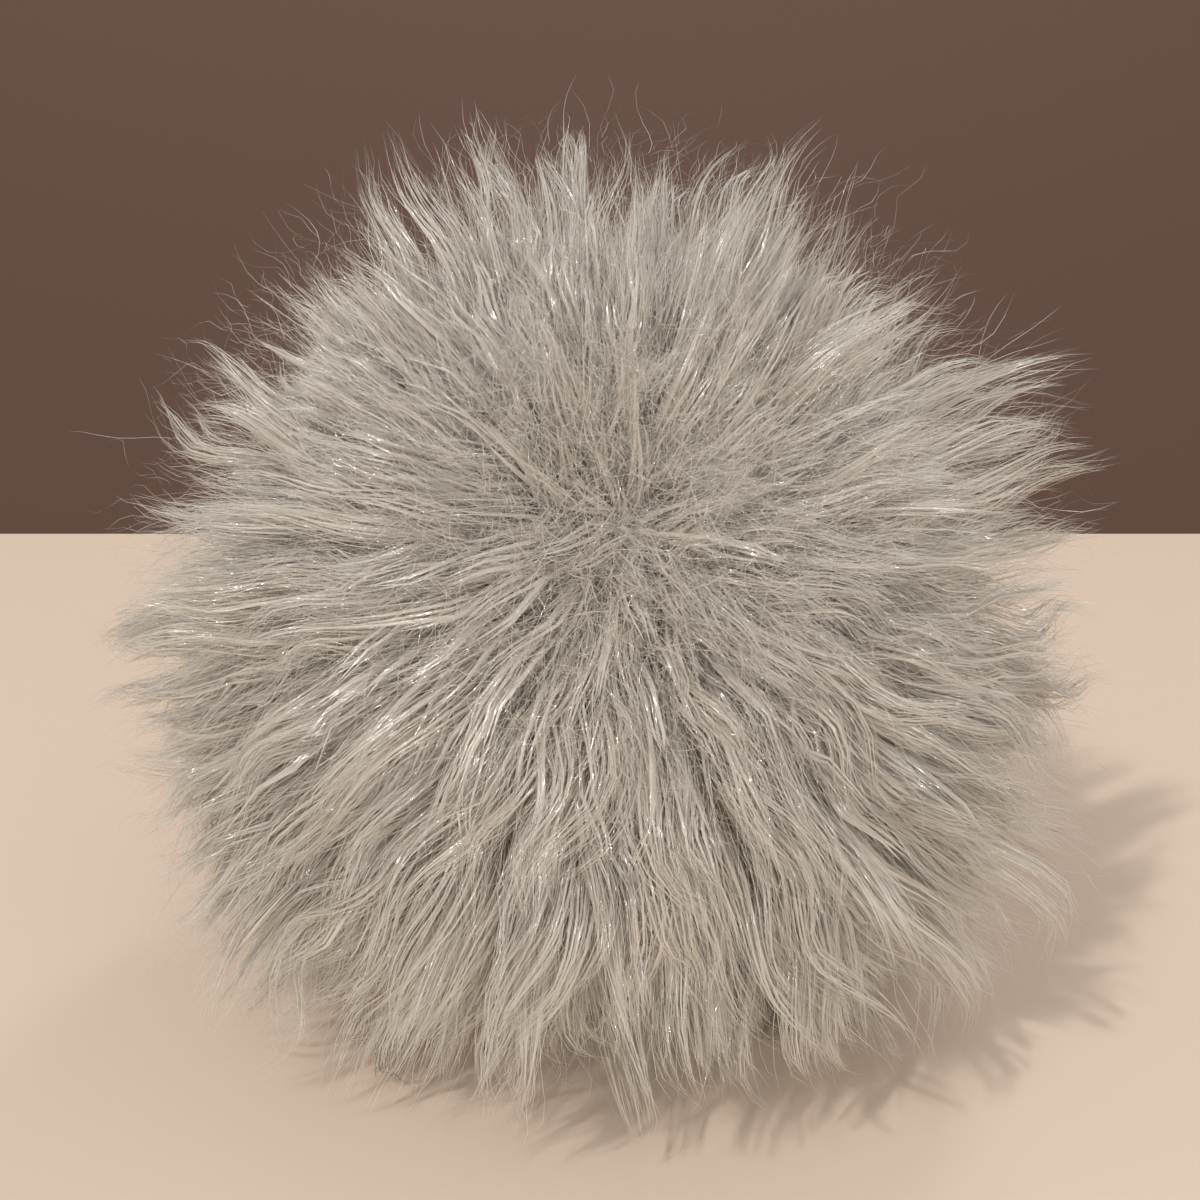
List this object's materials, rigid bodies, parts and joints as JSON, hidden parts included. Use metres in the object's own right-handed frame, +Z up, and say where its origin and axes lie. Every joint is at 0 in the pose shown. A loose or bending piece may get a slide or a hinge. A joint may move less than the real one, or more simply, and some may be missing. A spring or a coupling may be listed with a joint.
{
  "type": "faux fur pom pom",
  "caption": "Large shaggy ball of long-pile faux fur, its locks running away from a whorl at the upper front, pressed flat underneath where it rests.",
  "frame": {"origin": "on the table, under the middle of the ball", "axes": "+Z up; the whorl that the pile leaves is high on the side that faces -Y"},
  "size_m": [0.1616, 0.1588, 0.1514],
  "materials": {
    "fur": "soft long pile, slightly silky"
  },
  "bodies": {
    "root": {"fur_ball": "fur"}
  },
  "joints": []
}
